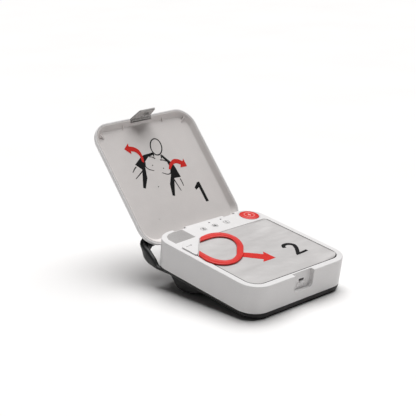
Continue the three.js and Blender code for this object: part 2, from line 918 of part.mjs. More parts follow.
addPiece("lid_shell", lidShell(), white, lid);
addPiece("lid_liner", lidLiner(), lidInside, lid);
addPiece("lid_latch", lidLatch(), grey, lid);
addPiece("latch_pin", latchPin(), steel, lid);
addPiece("lid_magnet", lidMagnet(), steel, lid);
for (const [side, sign] of Object.entries(SIDES)) {
  addPiece(`hinge_arm_${side}`, hingeArm(sign * HINGE.x), grey, lid);
  addPiece(`hinge_bracket_${side}`, hingeBracket(sign * HINGE.x), grey);
  addPiece(`hinge_pin_${side}`, hingePin(sign * HINGE.x), steel);
}

addPiece("electrode_tray", electrodeTray(), lidInside);
addPiece("foil_cover", foilCover(), foil);
addPiece("electrode_pad_left", electrodePad(-90, -3), gel);
addPiece("electrode_pad_right", electrodePad(3, 90), gel);
addPiece("pad_lead", padLead(), grey);
addPiece("electrode_connector", electrodeConnector(), white);
addPiece("connector_socket", connectorSocket(), component);
addPiece("pull_handle", pullHandle(), red);

addPiece("case_gasket", caseGasket(), rubber);
addPiece("base_tray", baseTray(), black);
addPiece("front_foot", frontFoot(), rubber);
addPiece("rear_foot_left", rearFoot(-84, -58), rubber);
addPiece("rear_foot_right", rearFoot(58, 84), rubber);
addPiece("carry_handle", carryHandle(), black);
addPiece("handle_grip", handleGrip(), rubber);

addPiece("battery_pack", batteryPack(), black);
addPiece("battery_latch", batteryLatch(), grey);
addPiece("battery_contacts", batteryContacts(), copper);

addPiece("main_board", mainBoard(), boardGreen);
addPiece("shock_capacitor", shockCapacitor(), steel);
addPiece("charge_transformer", chargeTransformer(), copper);
addPiece("discharge_inductor", dischargeInductor(), copper);
addPiece("switching_module", switchingModule(), steel);
addPiece("processor_shield", processorShield(), steel);
addPiece("ribbon_cable", ribbonCable(), grey);
for (const [side, sign] of Object.entries(SIDES)) {
  addPiece(`front_screw_${side}`, caseScrew(sign * SCREW.x, SCREW.front), steel);
  addPiece(`back_screw_${side}`, caseScrew(sign * SCREW.x, SCREW.back), steel);
}

// Lean the device back on its base, put its feet on Z = 0 and the middle of its footprint at the origin.
device.rotation.x = toRadians(LEAN);
device.updateMatrixWorld(true);
const bounds = new THREE.Box3().setFromObject(device, true);
const middle = bounds.getCenter(new THREE.Vector3());
const defibrillator = new THREE.Group();
device.position.set(-middle.x, -middle.y, -bounds.min.z);
defibrillator.add(device);

export default defibrillator;
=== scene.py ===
# A portable defibrillator with its lid open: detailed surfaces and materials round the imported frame.
# Shapes are drawn in millimetres in the case's own frame: X to the user's right, Y away from the user,
# Z = 0 on the joint between the white case and the black base. The lid is drawn closed, then turned open.

import json
import math
from types import SimpleNamespace as Sizes

import bmesh
import bpy
from mathutils import Matrix, Vector, noise


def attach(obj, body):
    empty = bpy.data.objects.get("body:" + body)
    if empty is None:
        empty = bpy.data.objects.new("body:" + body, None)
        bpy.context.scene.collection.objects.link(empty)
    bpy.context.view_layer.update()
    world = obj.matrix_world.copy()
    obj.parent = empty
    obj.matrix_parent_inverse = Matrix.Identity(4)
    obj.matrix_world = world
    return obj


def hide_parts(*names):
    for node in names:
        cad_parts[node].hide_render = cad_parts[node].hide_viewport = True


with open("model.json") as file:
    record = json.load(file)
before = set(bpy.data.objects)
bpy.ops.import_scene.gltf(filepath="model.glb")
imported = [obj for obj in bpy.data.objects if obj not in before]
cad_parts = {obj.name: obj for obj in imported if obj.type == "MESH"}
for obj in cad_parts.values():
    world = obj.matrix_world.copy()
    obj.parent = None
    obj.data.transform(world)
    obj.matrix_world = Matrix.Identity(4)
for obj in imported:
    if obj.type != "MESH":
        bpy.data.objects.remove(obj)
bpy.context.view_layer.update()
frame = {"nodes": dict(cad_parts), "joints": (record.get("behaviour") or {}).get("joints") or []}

# ---- driving sizes, as in the frame

MM = 0.001
GAP = 0.3
FAR = 200  # further out than any piece reaches, for cutting blocks

CASE = Sizes(
    left=-113, right=113, front=-115.75, back=119.25, corner=34.8, top=47, wall=2.8, edge=1.7, taper=0.8
)
WINDOW = Sizes(left=-102.5, right=102.5, front=-105, back=71, corner=23, back_right=8, ledge=3.2)
RECESS = Sizes(half_width=22, bottom=17, depth=8, wall=2.4, corner=8)
GROOVE = Sizes(front=-113.4, back=-109.8, bottom=26, top=42, depth=1.3)
SLOT = Sizes(left=-4, right=8, bottom=30, top=34)
LID = Sizes(front=-114, back=118.5, rim=47.3, notch=24, notch_top=53.2)
HINGE = Sizes(x=57, y=117.9, z=32.7, arm_half=10.6, pocket_half=13.5, block_half=16)
LATCH = Sizes(y=-110.3, z=50.6, tip=21, top=52.4, top_half=21.3, tip_half=16, back=-111.5)
BUTTON = Sizes(radius=6, y=95, places={"left": -21.4, "middle": 5.3, "right": 32.1})
LAMP = Sizes(radius=1.6, y=109.2, places={"left": 4.8, "right": 31.7})
SHOCK = Sizes(x=86.8, y=94.6, radius=17.2, edge=47.2, slack=0.4, ring=1.5)
BASE = Sizes(floor=-9.3, wall=2.4)
BULGE_HALF = 93
BAY = Sizes(half_width=52, top=-13.9, bottom=-30.6)
CATCH_HALF = 12
CATCH_ROOM = CATCH_HALF + 0.4
BAR = Sizes(y=156.4, z=18.7, along=10.5, across=7, straight=62)
GRIP = Sizes(half_length=57, thickness=2, ridges=38)
SCREW = Sizes(x=97.3, front=-100.05, back=103.55, head=-5.2, well=3.2)
FLOOR_POINT = (0, -112, -11.2)
FILM = Sizes(z=46.6, thickness=0.25, line=124.2, gap=2.2, back_gap=0.4, puff=3.2)
PRINT = Sizes(lift=0.22, thickness=0.15)
PULL_ROOT = (-77, 45.4)
DISH = 55.3  # the lid's inner face, drawn closed
RECESS_BACK = CASE.front + RECESS.depth
SIDES = (-1, 1)
HINGES = (-HINGE.x, HINGE.x)

# ---- frames

joints = {joint["name"]: joint for joint in frame["joints"]}
away = Vector(joints["battery_slide"]["axis"])
lean = math.atan2(away.z, away.y)
open_angle = math.radians(min(joints["lid_hinge"]["range_deg"]))
hinge_line = Matrix.Translation((0, HINGE.y, HINGE.z))

CASE_FRAME = (
    Matrix.Translation(joints["lid_hinge"]["pos_m"])
    @ Matrix.Rotation(lean, 4, "X")
    @ Matrix.Diagonal((MM, MM, MM, 1))
    @ hinge_line.inverted()
)
LID_FRAME = CASE_FRAME @ hinge_line @ Matrix.Rotation(open_angle, 4, "X") @ hinge_line.inverted()

# ---- outlines


def rounded_rectangle(left, right, front, back, radius, steps=16, back_right=None):
    """Points of a rectangle with round corners, counter-clockwise; one corner may differ."""
    first = radius if back_right is None else back_right
    corners = (
        (right - first, back - first, 0, first),
        (left + radius, back - radius, 90, radius),
        (left + radius, front + radius, 180, radius),
        (right - radius, front + radius, 270, radius),
    )
    points = []
    for x, y, start, curve in corners:
        for step in range(steps + 1):
            angle = math.radians(start + 90 * step / steps)
            points.append((x + curve * math.cos(angle), y + curve * math.sin(angle)))
    return points


def case_outline(inset, front=CASE.front, back=CASE.back):
    corner = max(CASE.corner - inset, 3)
    return rounded_rectangle(CASE.left + inset, CASE.right - inset, front + inset, back - inset, corner)


def lid_outline(inset):
    return case_outline(inset, LID.front, LID.back)


def base_outline(side, front):
    return rounded_rectangle(
        CASE.left + side, CASE.right - side, CASE.front + front, CASE.back - side, CASE.corner - side
    )


def window_outline(inset):
    return rounded_rectangle(
        WINDOW.left + inset,
        WINDOW.right - inset,
        WINDOW.front + inset,
        WINDOW.back - inset,
        WINDOW.corner - inset,
        back_right=max(WINDOW.back_right - inset, 2),
    )


def circle(x, y, radius, sides=48):
    turns = [2 * math.pi * side / sides for side in range(sides)]
    return [(x + radius * math.cos(turn), y + radius * math.sin(turn)) for turn in turns]


def through(points, steps):
    """A smooth open curve through the points (Catmull-Rom), with that many steps between two of them."""
    points = [Vector(point) for point in points]
    last = len(points) - 1
    curve = []
    for i in range(last):
        start, end = points[i], points[i + 1]
        before, after = points[max(i - 1, 0)], points[min(i + 2, last)]
        for step in range(steps):
            t = step / steps
            curve.append(
                start
                + (end - before) * (t / 2)
                + (before * 2 - start * 5 + end * 4 - after) * (t * t / 2)
                + (start * 3 - before - end * 3 + after) * (t * t * t / 2)
            )
    return curve + [points[last]]


def stroke(points, width, tip=1.0):
    """The outline of a line of that width, whose end is narrowed to a share of it."""
    path = [Vector(point) for point in points]
    left, right = [], []
    for i, point in enumerate(path):
        way = (path[min(i + 1, len(path) - 1)] - path[max(i - 1, 0)]).normalized()
        half = width / 2 * (1 + (tip - 1) * i / (len(path) - 1))
        side = Vector((-way.y, way.x)) * half
        left.append(point + side)
        right.append(point - side)
    return [tuple(p) for p in right + left[::-1]]


# ---- solids


def in_scene(name, data):
    obj = bpy.data.objects.new(name, data)
    bpy.context.scene.collection.objects.link(obj)
    return obj


def mesh_object(name, points, faces):
    mesh = bpy.data.meshes.new(name)
    mesh.from_pydata([tuple(point) for point in points], [], faces)
    return in_scene(name, mesh)


def loft(name, rings):
    """A closed solid over rings with equally many points, with flat ends."""
    count = len(rings[0])
    last = (len(rings) - 1) * count
    faces = []
    for ring in range(len(rings) - 1):
        for i in range(count):
            a = ring * count + i
            b = ring * count + (i + 1) % count
            faces.append((a, b, b + count, a + count))
    faces.append(tuple(reversed(range(count))))
    faces.append(tuple(range(last, last + count)))
    return mesh_object(name, [point for ring in rings for point in ring], faces)


def layered(name, levels):
    """A solid over level outlines, each given as (outline, z), from the lowest up."""
    return loft(name, [[(x, y, z) for x, y in outline] for outline, z in levels])


def slab(name, outline, bottom, top):
    return layered(name, [(outline, bottom), (outline, top)])


def side_slab(name, outline, left, right):
    """An outline in (y, z) run along X."""
    return loft(name, [[(x, y, z) for y, z in outline] for x in (left, right)])


def front_slab(name, outline, front, back):
    """An outline in (x, z) run along Y."""
    return loft(name, [[(x, y, z) for x, z in outline] for y in (back, front)])


def block(name, left, right, front, back, bottom, top):
    return slab(name, [(left, front), (right, front), (right, back), (left, back)], bottom, top)


def post(name, x, y, radius, bottom, top, sides=48):
    return slab(name, circle(x, y, radius, sides), bottom, top)


def turned(name, x, y, profile, sides=64):
    """A solid turned about an upright line, from (radius, z) pairs listed from the bottom up."""
    return layered(name, [(circle(x, y, radius, sides), z) for radius, z in profile])


def rod(name, y, z, radius, left, right, sides=32):
    return side_slab(name, circle(y, z, radius, sides), left, right)


def joined(name, objs):
    """Several separate solids as one object."""
    points, faces = [], []
    for obj in objs:
        start = len(points)
        points.extend(vertex.co.copy() for vertex in obj.data.vertices)
        faces.extend(tuple(start + i for i in face.vertices) for face in obj.data.polygons)
        bpy.data.objects.remove(obj)
    return mesh_object(name, points, faces)


def combine(target, operation, tools):
    for tool in tools:
        modifier = target.modifiers.new("combine", "BOOLEAN")
        modifier.operation = operation
        modifier.solver = "EXACT"
        modifier.object = tool
    evaluated = target.evaluated_get(bpy.context.evaluated_depsgraph_get())
    mesh = bpy.data.meshes.new_from_object(evaluated)
    target.modifiers.clear()
    target.data = mesh
    for tool in tools:
        bpy.data.objects.remove(tool)
    return target


def cut(target, *tools):
    return combine(target, "DIFFERENCE", tools)


def join(target, *tools):
    return combine(target, "UNION", tools)


def common(target, *tools):
    return combine(target, "INTERSECT", tools)


# ---- materials


class Look:
    """A material whose colour, roughness and bump come from procedural nodes on the object's own place."""

    def __init__(self, name, **constants):
        self.material = bpy.data.materials.new(name)
        self.material.use_nodes = True
        self.tree = self.material.node_tree
        self.surface = self.tree.nodes["Principled BSDF"]
        self.place = self.node("ShaderNodeTexCoord").outputs["Object"]
        for socket, value in constants.items():
            self.surface.inputs[socket.replace("_", " ")].default_value = value

    def node(self, kind, inputs=(), **settings):
        made = self.tree.nodes.new(kind)
        for key, value in settings.items():
            setattr(made, key, value)
        for socket, value in dict(inputs).items():
            if isinstance(value, bpy.types.NodeSocket):
                self.tree.links.new(value, made.inputs[socket])
            else:
                made.inputs[socket].default_value = value
        return made

    def stretched(self, scale, turn=(0, 0, 0)):
        inputs = {"Vector": self.place, "Scale": scale, "Rotation": turn}
        return self.node("ShaderNodeMapping", inputs).outputs["Vector"]

    def noise(self, scale, detail=3, vector=None):
        inputs = {"Vector": vector or self.place, "Scale": scale, "Detail": detail}
        return self.node("ShaderNodeTexNoise", inputs).outputs["Fac"]

    def ramp(self, value, stops):
        ramp = self.node("ShaderNodeValToRGB", {"Fac": value})
        elements = ramp.color_ramp.elements
        while len(elements) < len(stops):
            elements.new(0.5)
        for element, (position, colour) in zip(elements, stops):
            element.position = position
            element.color = (*colour, 1)
        return ramp.outputs["Color"]

    def roughness(self, low, high, scale, detail=3):
        """Roughness that wanders between two values."""
        inputs = {"Value": self.noise(scale, detail), "From Min": 0.3, "From Max": 0.7}
        spread = self.node("ShaderNodeMapRange", {**inputs, "To Min": low, "To Max": high})
        self.wear("Roughness", spread.outputs["Result"])

    def multiplied(self, first, second):
        """The product of two colours; the sockets of the mix node are picked by number."""
        inputs = {0: 1.0, 6: first, 7: second}
        return self.node("ShaderNodeMix", inputs, data_type="RGBA", blend_type="MULTIPLY").outputs[2]

    def bump(self, height, strength, distance, below=None):
        inputs = {"Height": height, "Strength": strength, "Distance": distance * MM}
        if below:
            inputs["Normal"] = below
        return self.node("ShaderNodeBump", inputs).outputs["Normal"]

    def wear(self, socket, value):
        self.tree.links.new(value, self.surface.inputs[socket])


def shade(colour, factor):
    return tuple(min(1.0, channel * factor) for channel in colour)


def moulded(name, colour, roughness, grain=0.05, grain_scale=2600, mottle=0.04, **constants):
    """Moulded plastic: a fine spark-eroded grain, soft tone changes and uneven gloss."""
    look = Look(name, **constants)
    cloud = look.noise(38, 4)
    tones = look.ramp(cloud, [(0.3, shade(colour, 1 - mottle)), (0.7, shade(colour, 1 + mottle))])
    specks = look.noise(grain_scale * 0.4, 2)
    fleck = look.ramp(specks, [(0.35, (0.96, 0.96, 0.96)), (0.65, (1, 1, 1))])
    look.wear("Base Color", look.multiplied(tones, fleck))
    look.roughness(roughness - 0.06, roughness + 0.06, 160, 5)
    swell = look.bump(look.noise(30, 2), 0.25, 0.3)
    look.wear("Normal", look.bump(look.noise(grain_scale, 2), 1.0, grain, swell))
    return look.material


def textured_black(name, colour, roughness, pebble, scale):
    """Black plastic or rubber with a pebbled mould texture and paler rubbed places."""
    look = Look(name)
    cells = look.node("ShaderNodeTexVoronoi", {"Vector": look.place, "Scale": scale}).outputs["Distance"]
    rubbed = look.ramp(look.noise(26, 6), [(0.42, shade(colour, 0.8)), (0.72, shade(colour, 1.9))])
    peaks = look.ramp(cells, [(0.1, (1.25, 1.25, 1.25)), (0.6, (0.85, 0.85, 0.85))])
    look.wear("Base Color", look.multiplied(rubbed, peaks))
    look.roughness(roughness - 0.08, roughness + 0.08, 90, 4)
    look.wear("Normal", look.bump(cells, 0.9, -pebble, look.bump(look.noise(scale * 2.5, 2), 0.5, pebble)))
    return look.material


def metal(name, colour, roughness, along):
    """Brushed or drawn metal, its fine lines running along one axis."""
    look = Look(name, Metallic=1.0)
    lines = look.noise(1, 4, look.stretched(along))
    look.wear("Base Color", look.ramp(lines, [(0.3, shade(colour, 0.78)), (0.7, shade(colour, 1.12))]))
    look.roughness(roughness - 0.08, roughness + 0.12, 300, 4)
    look.wear("Normal", look.bump(lines, 0.6, 0.03))
    return look.material


def film_look():
    """Silver-grey laminated film: cloudy sheen, faint draw lines and fine creases."""
    look = Look("silver_film", Metallic=0.2, Coat_Weight=0.08, Coat_Roughness=0.4, Specular_IOR_Level=0.35)
    cloud = look.noise(1, 5, look.stretched((14, 46, 20), (0, 0, 0.5)))
    tones = [(0.25, (0.45, 0.435, 0.43)), (0.5, (0.495, 0.48, 0.475)), (0.78, (0.55, 0.535, 0.53))]
    look.wear("Base Color", look.ramp(cloud, tones))
    look.roughness(0.5, 0.66, 55, 4)
    creases = look.noise(1, 6, look.stretched((60, 260, 80), (0, 0, 0.35)))
    look.wear("Normal", look.bump(creases, 0.8, 0.5, look.bump(look.noise(900, 3), 0.4, 0.05)))
    return look.material


def board_look():
    """A circuit board: solder mask over fine copper tracks."""
    look = Look("solder_mask", Coat_Weight=0.4, Coat_Roughness=0.2)
    cells = {"Vector": look.place, "Scale": 520, "Mortar Size": 0.02}
    tracks = look.node("ShaderNodeTexBrick", cells).outputs["Fac"]
    look.wear("Base Color", look.ramp(tracks, [(0.2, (0.015, 0.13, 0.05)), (0.8, (0.04, 0.26, 0.1))]))
    look.roughness(0.32, 0.48, 200)
    look.wear("Normal", look.bump(tracks, 0.6, 0.06))
    return look.material


def wound_copper():
    """Enamelled wire wound in close turns."""
    look = Look("wound_copper", Metallic=0.85)
    inputs = {"Vector": look.place, "Scale": 420, "Distortion": 0.6}
    turns = look.node("ShaderNodeTexWave", inputs, bands_direction="X").outputs["Fac"]
    look.wear("Base Color", look.ramp(turns, [(0.1, (0.22, 0.08, 0.03)), (0.6, (0.72, 0.33, 0.14))]))
    look.roughness(0.28, 0.45, 150)
    look.wear("Normal", look.bump(turns, 0.8, 0.2))
    return look.material


def lamp_window():
    look = Look("lamp_window", Transmission_Weight=0.35, Coat_Weight=0.6, Coat_Roughness=0.1)
    tones = [(0.3, (0.05, 0.055, 0.05)), (0.7, (0.12, 0.13, 0.12))]
    look.wear("Base Color", look.ramp(look.noise(700), tones))
    look.roughness(0.12, 0.25, 500)
    return look.material


def printed(name, colour, roughness=0.6):
    """Screen-printed ink: solid, with slightly uneven gloss and pinholes."""
    look = Look(name, Specular_IOR_Level=0.15)
    tones = [(0.25, shade(colour, 0.82)), (0.6, shade(colour, 1.06))]
    look.wear("Base Color", look.ramp(look.noise(420, 5), tones))
    look.roughness(roughness - 0.07, roughness + 0.07, 260, 3)
    look.wear("Normal", look.bump(look.noise(1800, 2), 0.6, 0.03))
    return look.material


WHITE = (0.77, 0.757, 0.755)
white = moulded("white_plastic", WHITE, 0.4, 0.035, mottle=0.012, Coat_Weight=0.12, Coat_Roughness=0.3)
lid_grey = moulded("warm_grey_plastic", (0.7, 0.665, 0.65), 0.5, 0.05, mottle=0.02)
grille_grey = moulded("grille_plastic", (0.42, 0.405, 0.4), 0.6, 0.06)
mid_grey = moulded("grey_plastic", (0.3, 0.29, 0.285), 0.52, 0.06)
latch_grey = moulded("latch_plastic", (0.43, 0.42, 0.41), 0.45, 0.06, mottle=0.06)
black = textured_black("black_plastic", (0.009, 0.0095, 0.0095), 0.55, 0.09, 900)
handle_black = textured_black("handle_plastic", (0.008, 0.0085, 0.0085), 0.45, 0.05, 1400)
rubber = textured_black("soft_rubber", (0.009, 0.009, 0.009), 0.75, 0.12, 650)
red = moulded("red_plastic", (0.68, 0.022, 0.016), 0.4, 0.04, mottle=0.05, Specular_IOR_Level=0.35)
red_ink = printed("red_ink", (0.62, 0.022, 0.016))
black_ink = printed("black_ink", (0.005, 0.005, 0.0055), 0.75)
faint_ink = printed("faint_ink", (0.36, 0.35, 0.345))
pale_ink = printed("pale_ink", (0.86, 0.45, 0.42))
silver = film_look()
steel = metal("zinc_steel", (0.62, 0.62, 0.64), 0.3, (60, 900, 900))
aluminium = metal("drawn_aluminium", (0.7, 0.7, 0.72), 0.35, (60, 700, 700))
copper = wound_copper()
circuit = board_look()
component = moulded("black_component", (0.04, 0.04, 0.045), 0.42, 0.04, mottle=0.2)
cable = moulded("cable_sheath", (0.3, 0.3, 0.31), 0.55, 0.05, mottle=0.08)
gel = moulded("foam_and_gel", (0.78, 0.75, 0.68), 0.7, 0.3, 900, mottle=0.05)
window = lamp_window()

# ---- putting a piece in place


def round_edges(obj, width, segments, angle):
    """Rounds the edges that turn by more than an angle in degrees."""
    bevel = obj.modifiers.new("rounded_edges", "BEVEL")
    bevel.width = width * MM
    bevel.segments = segments
    bevel.limit_method = "ANGLE"
    bevel.angle_limit = math.radians(angle)
    return bevel


def place_piece(obj, body, look, slot, *nodes, where=CASE_FRAME, edge=0.0, rounds=3):
    """Moves a drawn piece into the frame, rounds and shades its edges, and lets it ride on its body."""
    obj.data.transform(where)
    obj.data.materials.clear()
    obj.data.materials.append(look)
    for face in obj.data.polygons:
        face.use_smooth = True
    if edge:
        round_edges(obj, edge, rounds, 32).miter_outer = "MITER_ARC"
    normals = obj.modifiers.new("face_normals", "WEIGHTED_NORMAL")
    normals.weight = 60
    normals.keep_sharp = True
    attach(obj, body)
    if nodes:
        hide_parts(*nodes)


# ---- white case and its deck

GRILLE = [(-54.5, 78.5), (-54.5, 112.4), (-76, 112.4), (-86, 110.6), (-95, 105), (-100.6, 95), (-100.8, 76)]
GRILLE_MIDDLE = Vector((-77, 96))
PORE = Sizes(left=-102, front=75.5, pitch=2.15, radius=0.5, rows=20, columns=25)


def grille_outline(share):
    """The grille's outline moved in towards its middle."""
    return [tuple(Vector(point).lerp(GRILLE_MIDDLE, share)) for point in GRILLE]


def recess_outline(margin):
    half = RECESS.half_width + margin
    return rounded_rectangle(-half, half, RECESS.bottom - margin, CASE.top + 20, RECESS.corner + margin, 8)


def rounded_top(outline, top, radius, steps=5):
    """Levels that round a solid's upper edge."""
    levels = []
    for step in range(steps + 1):
        angle = math.pi / 2 * step / steps
        levels.append((outline(radius * (1 - math.cos(angle))), top - radius + radius * math.sin(angle)))
    return levels


def above_deck(bottom=5):
    """The levels that a cut through the deck starts and ends at."""
    return CASE.top - bottom, CASE.top + 3


def upper_case():
    levels = [(case_outline(CASE.taper), GAP)] + rounded_top(case_outline, CASE.top, CASE.edge)
    shell = layered("case_shell", levels)
    room = [(case_outline(CASE.taper + CASE.wall), -5), (case_outline(CASE.wall), CASE.top - CASE.wall)]
    cut(shell, layered("hollow", room))
    join(shell, window_ledge(), recess_walls(), *hinge_blocks())
    cut(shell, *front_openings(), *deck_openings(), *hinge_pockets())
    place_piece(shell, "case", white, "white_shell", "upper_case", edge=0.45)


def window_ledge():
    """The step under the window's edge, on which the film lies."""
    return cut(
        slab("ledge", window_outline(-2.5), CASE.top - 5, CASE.top - CASE.wall + 0.1),
        slab("ledge_hole", window_outline(WINDOW.ledge), CASE.top - 6, CASE.top),
    )


def recess_walls():
    front, back = CASE.front + 1.5, RECESS_BACK + RECESS.wall
    walls = front_slab("recess_walls", recess_outline(RECESS.wall), front, back)
    return common(walls, block("below_top", -60, 60, -130, -90, 0, CASE.top - 1))


def hinge_blocks():
    half = HINGE.block_half
    return [block("hinge_block", x - half, x + half, 110.8, 117, 23.5, CASE.top - 1) for x in HINGES]


def hinge_pockets():
    half = HINGE.pocket_half
    return [block("hinge_pocket", x - half, x + half, 113.2, 130, 26, CASE.top + 5) for x in HINGES]


def front_openings():
    """The window, and the latch recess with its slot and a groove in each side for the latch tab."""
    openings = [
        slab("window", window_outline(0), *above_deck(CASE.wall + 0.1)),
        front_slab("recess", recess_outline(0), CASE.front - 5, RECESS_BACK),
        block("slot", SLOT.left, SLOT.right, RECESS_BACK - 1, RECESS_BACK + 4, SLOT.bottom, SLOT.top),
    ]
    for side in SIDES:
        left, right = sorted((side * (RECESS.half_width - 1), side * (RECESS.half_width + GROOVE.depth)))
        openings.append(block("groove", left, right, GROOVE.front, GROOVE.back, GROOVE.bottom, GROOVE.top))
    return openings


def deck_openings():
    """The seats and holes of the grille, the shock button, the small buttons and the status windows."""
    shock_radius = SHOCK.radius + SHOCK.slack + SHOCK.ring + GAP
    openings = [
        slab("grille_seat", grille_outline(0), *above_deck(1.4)),
        slab("grille_hole", grille_outline(0.12), *above_deck()),
        post("shock_hole", SHOCK.x, SHOCK.y, shock_radius, *above_deck()),
    ]
    for x in BUTTON.places.values():
        openings.append(post("button_hole", x, BUTTON.y, BUTTON.radius + GAP, *above_deck()))
    for x in LAMP.places.values():
        openings.append(post("lamp_hole", x, LAMP.y, LAMP.radius + GAP, *above_deck(), 20))
    return openings


def recess_lip():
    """A raised U round the foot of the latch strike."""
    outer = rounded_rectangle(SLOT.left - 3, SLOT.right + 3, 19, 30, 3, 6)
    inner = rounded_rectangle(SLOT.left - 1.8, SLOT.right + 1.8, 20.2, 33, 2, 6)
    lip = front_slab("recess_lip", outer, RECESS_BACK - 0.8, RECESS_BACK + 0.3)
    cut(lip, front_slab("lip_room", inner, RECESS_BACK - 3, RECESS_BACK + 3))
    place_piece(lip, "case", white, "white_shell", edge=0.25)


def latch_strike():
    back = RECESS_BACK - GAP
    outline = rounded_rectangle(-2, 6, SLOT.bottom - 4.5, SLOT.bottom - 0.6, 1, 5)
    strike = front_slab("strike_plate", outline, back - 1.4, back)
    place_piece(strike, "case", white, "grey_plastic", "latch_strike", edge=0.35)


def speaker_grille():
    plate = slab("speaker_mesh", grille_outline(0.01), CASE.top - 1.1, CASE.top - 0.2)
    rim = [Vector(point) for point in grille_outline(0.07)]
    holes = []
    for row in range(PORE.rows):
        for column in range(PORE.columns):
            x = PORE.left + (column + row % 2 / 2) * PORE.pitch
            spot = Vector((x, PORE.front + row * PORE.pitch * 0.87))
            if inside(spot, rim):
                holes.append(post("pore", *spot, PORE.radius, CASE.top - 3, CASE.top + 2, 8))
    cut(plate, joined("pores", holes))
    place_piece(plate, "case", grille_grey, "grey_plastic", "speaker_grille")


def inside(spot, corners):
    """Whether a spot lies within a convex counter-clockwise outline."""
    return all((b - a).cross(spot - a) > 0 for a, b in zip(corners, corners[1:] + corners[:1]))


def small_buttons():
    top = CASE.top + 0.5
    for place, x in BUTTON.places.items():
        radius = BUTTON.radius
        profile = [(radius + 1, 43), (radius + 1, 43.9), (radius, 44), (radius, top - 0.5)]
        profile += [(radius - 0.15, top - 0.2), (radius - 0.5, top), (radius - 1.2, top)]
        profile += [(radius - 2, top - 0.12), (1, top - 0.2)]
        cap = turned(f"{place}_key_cap", x, BUTTON.y, profile)
        place_piece(cap, f"{place}_key", white, "white_shell", f"{place}_button")
        marks = [ring("mark", x, BUTTON.y, 5, 4.5, top - 0.16, top + 0.02)]
        for outline in BUTTON_MARKS[place](x, BUTTON.y):
            marks.append(slab("mark", outline, top - 0.3, top - 0.1))
        place_piece(joined(f"{place}_key_mark", marks), f"{place}_key", black_ink, "black_plastic")


def child_mark(x, y):
    """A small figure: a round head over a tapered body."""
    body = [(x - 2.3, y - 3), (x + 2.3, y - 3), (x + 1.2, y + 0.7), (x - 1.2, y + 0.7)]
    return [circle(x, y + 2.2, 1.3, 20), body]


def speech_mark(x, y):
    """Three short bars, as lines of speech."""
    bars = []
    for i in range(3):
        bottom = y - 2.6 + i * 1.9
        bars.append(rounded_rectangle(x - 3, x + 3 - i * 0.7, bottom, bottom + 1.3, 0.5, 3))
    return bars


def info_mark(x, y):
    """A dot over an upright bar."""
    return [circle(x, y + 2.4, 1.05, 16), rounded_rectangle(x - 0.95, x + 0.95, y - 3, y + 0.8, 0.4, 3)]


BUTTON_MARKS = {"left": child_mark, "middle": speech_mark, "right": info_mark}


def ring(name, x, y, outer, inner, bottom, top, sides=48):
    """A flat ring as a closed solid."""
    sections = [(inner, bottom), (outer, bottom), (outer, top), (inner, top)]
    points, faces = [], []
    for side in range(sides):
        turn = 2 * math.pi * side / sides
        points += [(x + radius * math.cos(turn), y + radius * math.sin(turn), z) for radius, z in sections]
    for side in range(sides):
        a, b = side * 4, (side + 1) % sides * 4
        faces += [(a + i, b + i, b + (i + 1) % 4, a + (i + 1) % 4) for i in range(4)]
    return mesh_object(name, points, [face[::-1] for face in faces])


def status_windows():
    radius, top = LAMP.radius, CASE.top + 0.2
    profile = [(radius, CASE.top - 4), (radius, top - 0.4), (radius - 0.2, top - 0.12), (0.6, top)]
    for place, x in LAMP.places.items():
        lens = turned(f"{place}_lamp_lens", x, LAMP.y, profile, 32)
        place_piece(lens, "case", window, "window", f"{place}_status_window")


BOLT = [(2.6, 5.6), (-3.6, -0.8), (-0.5, -0.8), (-2.4, -5.8), (3.8, 1.2), (0.7, 1.2)]


def shock_button():
    """A key with a low dome and a flat middle, marked with a bolt in a ring."""
    x, y, radius, edge = SHOCK.x, SHOCK.y, SHOCK.radius, SHOCK.edge
    shoulder = edge + 0.1
    profile = [(radius, 42.4), (radius, edge - 0.35), (radius - 0.12, edge - 0.1), (radius - 0.4, shoulder)]
    profile += [(radius - step, shoulder + 0.98 * math.sin(math.pi / 12 * step)) for step in range(1, 7)]
    profile += [(radius - 8, edge + 1.04), (4, edge + 0.9), (1, edge + 0.88)]
    cap = turned("shock_key_cap", x, y, profile, 96)
    cut(cap, post("cap_hollow", x, y, 12, 40, 44.3))
    place_piece(cap, "shock_key", red, "red_plastic", "shock_button")
    top = edge + 0.9
    bolt = slab("mark", [(x + right, y + up) for right, up in BOLT], top - 0.2, top + 0.12)
    circle_mark = ring("mark", x, y, 9.4, 8.5, top - 0.2, top + 0.18, 64)
    place_piece(joined("shock_key_mark", [bolt, circle_mark]), "shock_key", pale_ink, "red_plastic")


def shock_bezel():
    inner = SHOCK.radius + SHOCK.slack
    collar = ring("shock_key_collar", SHOCK.x, SHOCK.y, inner + SHOCK.ring, inner, 43, CASE.top + 0.1, 96)
    place_piece(collar, "case", white, "white_shell", "shock_button_bezel", edge=0.3)


# ---- film, its prints, connector, pull loop


def smooth(share):
    """An ease from 0 to 1."""
    share = min(1, max(0, share))
    return share * share * (3 - 2 * share)


def film_height(x, y):
    """The film's level: creases that die out at its sealed edge, and a puffed right side."""
    flow = noise.noise(Vector((x * 0.014, y * 0.012, 3.1))) * 9
    long_waves = noise.noise(Vector((x * 0.011 + y * 0.006, (y - x * 0.32 + flow) * 0.075, 7.7)))
    creases = 1 - abs(noise.noise(Vector((x * 0.02 - y * 0.004, (y + x * 0.24 + flow) * 0.11, 1.3)))) * 2
    side = min(x - WINDOW.left, WINDOW.right - x, y - WINDOW.front, WINDOW.back - y)
    creased = 0.55 * long_waves + 0.4 * creases ** 3 - 0.15
    puffed = FILM.puff * smooth((x - 50) / 45) * smooth((side - FILM.gap) / 6) ** 0.5
    return FILM.z + smooth((side - FILM.gap) / 8) * creased + puffed


def slices(low, high, pitch):
    count = int((high - low) / pitch)
    return [low + pitch * (i + 0.5) for i in range(count)]


